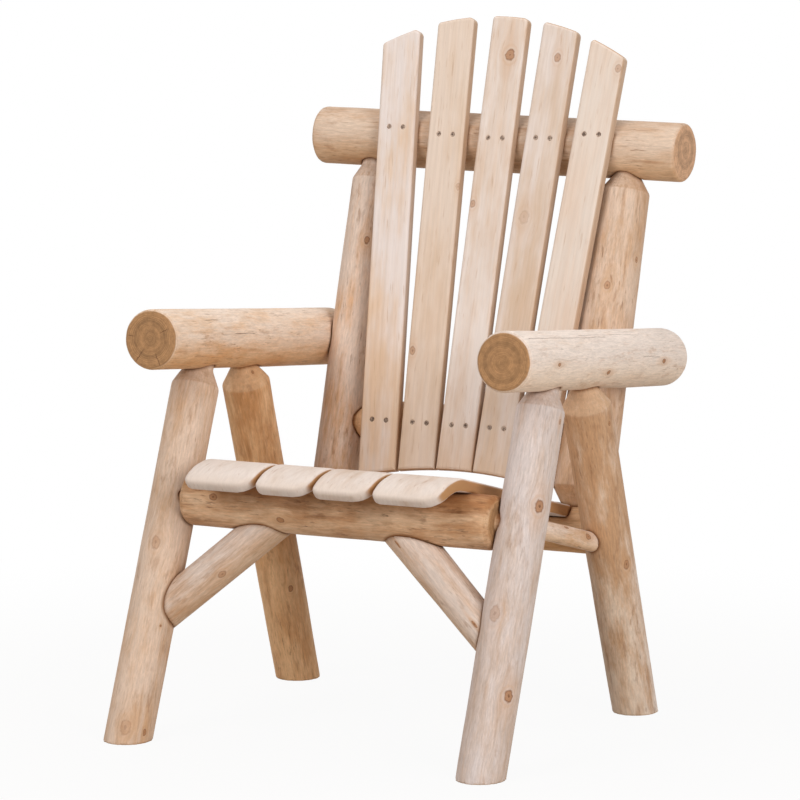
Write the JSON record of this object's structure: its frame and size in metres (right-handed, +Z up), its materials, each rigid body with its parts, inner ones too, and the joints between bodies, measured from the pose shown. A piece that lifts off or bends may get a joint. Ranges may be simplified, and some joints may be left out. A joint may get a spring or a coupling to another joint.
{
  "type": "log lounge chair",
  "caption": "Rustic lounge chair of peeled round logs with coned tenons, log armrests, a fanned slat back and a sloping slat seat with a rolled front edge.",
  "frame": {"origin": "centre of the chair's bounding box, on the floor under the feet", "axes": "+Z up, -Y the way the sitter faces; left and right in the node names are as seen by someone facing the chair, so right is +X"},
  "size_m": [0.684, 0.7754, 1.0785],
  "materials": {
    "peeled_log": "peeled and sanded log with fine grain, knots and drying cracks",
    "rail_log": "peeled log with a warmer tone and darker streaks",
    "back_slat": "planed board with eased edges",
    "seat_slat": "planed board with a rolled front",
    "screw_steel": "dull dark-coated steel"
  },
  "bodies": {
    "root": {"front_leg_left": "peeled_log", "front_leg_right": "peeled_log", "rear_leg_left": "peeled_log", "rear_leg_right": "peeled_log", "armrest_left": "peeled_log", "armrest_right": "peeled_log", "front_seat_rail": "peeled_log", "front_brace_left": "peeled_log", "front_brace_right": "peeled_log", "rear_seat_rail": "rail_log", "side_rail_left": "rail_log", "side_rail_right": "rail_log", "back_post_left": "rail_log", "back_post_right": "rail_log", "top_back_rail": "rail_log", "lower_back_rail": "rail_log", "back_slat_1": "back_slat", "back_slat_2": "back_slat", "back_slat_3": "back_slat", "back_slat_4": "back_slat", "back_slat_5": "back_slat", "seat_slat_1": "seat_slat", "seat_slat_2": "seat_slat", "seat_slat_3": "seat_slat", "seat_slat_4": "seat_slat", "back_slat_top_screws": "screw_steel", "back_slat_lower_screws": "screw_steel", "seat_slat_front_screws": "screw_steel", "seat_slat_rear_screws": "screw_steel", "brace_screws": "screw_steel", "arm_lag_screws": "screw_steel", "arm_lag_washers": "screw_steel", "rear_rail_lag_screws": "screw_steel", "rear_rail_lag_washers": "screw_steel"}
  },
  "joints": []
}
